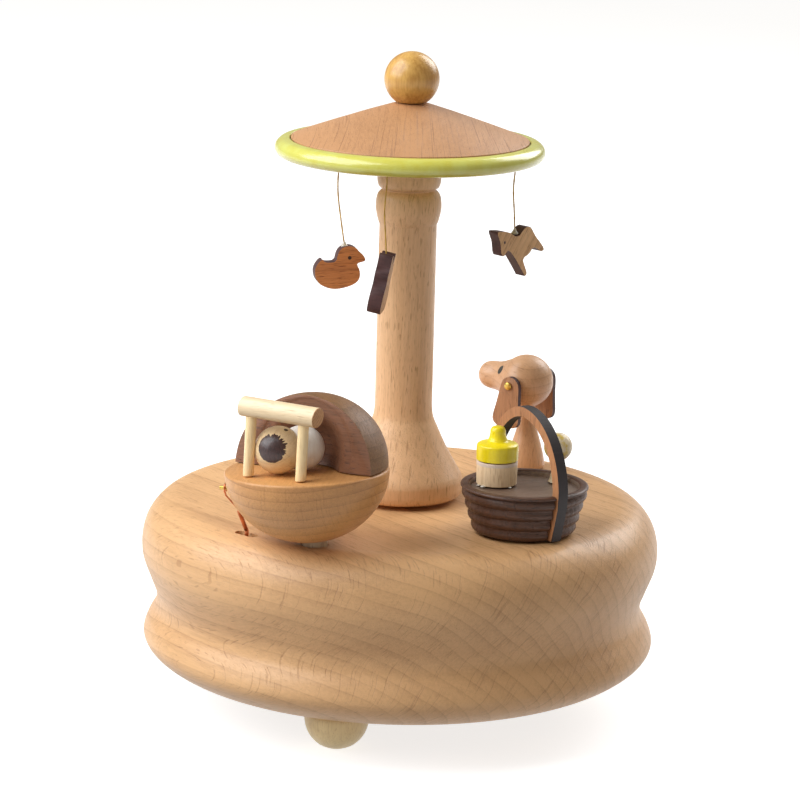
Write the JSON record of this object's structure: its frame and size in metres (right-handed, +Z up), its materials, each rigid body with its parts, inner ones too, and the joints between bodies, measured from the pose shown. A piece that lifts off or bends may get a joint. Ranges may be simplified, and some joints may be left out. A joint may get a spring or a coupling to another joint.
{
  "type": "wooden music box",
  "caption": "Round turned wooden music box: a column with a cone canopy and hanging charms turns over a rocking cradle, a basket and a small dog.",
  "frame": {"origin": "on the column axis, level with the undersides of the feet", "axes": "+Z up along the column; -Y towards the front, where the cradle and the basket stand; +X to the right, towards the basket and the dog"},
  "size_m": [0.1246, 0.1269, 0.1593],
  "materials": {
    "beech": "clear satin varnish over steamed beech",
    "beech_light": "clear satin varnish over pale beech",
    "maple": "clear satin varnish over maple",
    "walnut": "turned dark walnut, oiled",
    "walnut_light": "walnut, oiled, with laser-darkened edges",
    "cherry": "cherry, oiled, dark cut edges",
    "cover_board": "bare fibreboard disc",
    "green_paint": "glossy yellow-green lacquer on wood",
    "lime_paint": "glossy lime lacquer on wood",
    "gold_paint": "honey-coloured stain under gloss varnish",
    "white_paint": "matt white paint on a wooden bead",
    "charm_wood": "laser-cut stained plywood with dark edges",
    "brass": "satin",
    "steel": "satin",
    "copper": "copper-coated wire, satin",
    "gold_thread": "twisted gold thread"
  },
  "bodies": {
    "base": {"base_shell": "beech", "basket_bowl": "walnut", "basket_handle": "walnut_light", "bottle_body": "maple", "bottle_cap": "lime_paint", "bottom_cover": "cover_board", "comb_screw_1": "steel", "comb_screw_2": "steel", "cover_screw_1": "brass", "cover_screw_2": "brass", "cover_screw_3": "brass", "cradle_peg": "beech_light", "dog_body": "beech", "dog_ear_nail_left": "brass", "dog_ear_nail_right": "brass", "dog_head": "beech", "foot_1": "maple", "foot_2": "maple", "foot_3": "maple", "governor_bracket": "brass", "lever_pivot_screw": "brass", "movement_bedplate": "steel", "movement_screw_1": "steel", "movement_screw_2": "steel", "rattle": "maple", "shaft_bushing": "brass", "tone_comb": "steel"},
    "winder": {"winding_knob": "maple", "winding_arbor": "steel"},
    "rotor": {"spring_barrel": "brass", "mainspring": "steel", "output_shaft": "steel", "rocking_cam": "brass", "column": "beech", "canopy_rim": "green_paint", "canopy_roof": "beech_light", "finial_ball": "gold_paint"},
    "cylinder": {"pin_cylinder": "brass", "cylinder_arbor": "steel"},
    "governor": {"governor_wheel": "steel"},
    "fan": {"governor_fan": "brass"},
    "cradle": {"cradle_bowl": "beech", "cradle_hood": "walnut_light", "cradle_post_left": "maple", "cradle_post_right": "maple", "cradle_crossbar": "maple", "baby_head": "maple", "baby_body": "white_paint", "link_pin": "brass", "cradle_pivot_pin": "steel"},
    "lever": {"rocking_lever": "copper"},
    "link": {"link_wire": "copper"},
    "ear_left": {"dog_ear_left": "cherry"},
    "ear_right": {"dog_ear_right": "cherry"},
    "duck_thread": {"thread_duck": "gold_thread"},
    "duck_charm": {"charm_duck": "charm_wood"},
    "rabbit_thread": {"thread_rabbit": "gold_thread"},
    "rabbit_charm": {"charm_rabbit": "charm_wood"},
    "horse_thread": {"thread_horse": "gold_thread"},
    "horse_charm": {"charm_horse": "charm_wood"}
  },
  "joints": [
    {"name": "column_spin", "type": "hinge", "parent": "base", "child": "rotor", "pos_m": [0, 0, 0.134], "axis": [0, 0, 1], "continuous": true},
    {"name": "winding", "type": "hinge", "parent": "base", "child": "winder", "pos_m": [0, 0, 0.005], "axis": [0, 0, 1], "range_deg": [0, 1080]},
    {"name": "cylinder_spin", "type": "hinge", "parent": "base", "child": "cylinder", "pos_m": [0.0286, 0, 0.0246], "axis": [1, 0, 0], "continuous": true},
    {"name": "governor_spin", "type": "hinge", "parent": "base", "child": "governor", "pos_m": [0.03, 0.011, 0.0246], "axis": [1, 0, 0], "continuous": true},
    {"name": "fan_spin", "type": "hinge", "parent": "base", "child": "fan", "pos_m": [0.03, 0.0171, 0.025], "axis": [0, 0, 1], "continuous": true},
    {"name": "cradle_rock", "type": "hinge", "parent": "base", "child": "cradle", "pos_m": [-0.0196, -0.0459, 0.0605], "axis": [0.5288, 0.8487, 0], "range_deg": [-2, 0.8]},
    {"name": "lever_swing", "type": "hinge", "parent": "base", "child": "lever", "pos_m": [-0.0249, -0.0268, 0.0362], "axis": [0, 0, 1], "range_deg": [-1.6, 3.8]},
    {"name": "link_swing", "type": "hinge", "parent": "lever", "child": "link", "pos_m": [-0.0373, -0.0412, 0.0569], "axis": [0.3952, 0.725, 0.5641], "range_deg": [-14.6, 5.9]},
    {"name": "ear_left_swing", "type": "hinge", "parent": "base", "child": "ear_left", "pos_m": [0.02635, 0.02789, 0.0729], "axis": [-0.6018, -0.7986, 0], "range_deg": [-20, 20]},
    {"name": "ear_right_swing", "type": "hinge", "parent": "base", "child": "ear_right", "pos_m": [0.03537, 0.03987, 0.0729], "axis": [-0.6018, -0.7986, 0], "range_deg": [-20, 20]},
    {"name": "duck_swing", "type": "hinge", "parent": "rotor", "child": "duck_thread", "pos_m": [-0.017, 0.0176, 0.134], "axis": [0.9781, 0.2079, 0], "range_deg": [-12, 12]},
    {"name": "duck_twist", "type": "hinge", "parent": "duck_thread", "child": "duck_charm", "pos_m": [-0.0154, 0.0176, 0.112], "axis": [0, 0, 1], "continuous": true},
    {"name": "rabbit_swing", "type": "hinge", "parent": "rotor", "child": "rabbit_thread", "pos_m": [-0.0052, -0.0242, 0.134], "axis": [0.1564, 0.9877, 0], "range_deg": [-12, 12]},
    {"name": "rabbit_twist", "type": "hinge", "parent": "rabbit_thread", "child": "rabbit_charm", "pos_m": [-0.0048, -0.0242, 0.112], "axis": [0, 0, 1], "continuous": true},
    {"name": "horse_swing", "type": "hinge", "parent": "rotor", "child": "horse_thread", "pos_m": [0.0253, 0.0069, 0.134], "axis": [0.7431, 0.6691, 0], "range_deg": [-12, 12]},
    {"name": "horse_twist", "type": "hinge", "parent": "horse_thread", "child": "horse_charm", "pos_m": [0.0257, 0.0069, 0.112], "axis": [0, 0, 1], "continuous": true}
  ],
  "couplings": [
    {"joint": "cylinder_spin", "follows": "column_spin", "ratio": 2},
    {"joint": "governor_spin", "follows": "column_spin", "ratio": -4},
    {"joint": "fan_spin", "follows": "column_spin", "ratio": 56},
    {"joint": "lever_swing", "follows": "cradle_rock", "ratio": -1.856},
    {"joint": "link_swing", "follows": "cradle_rock", "ratio": 7.218}
  ]
}
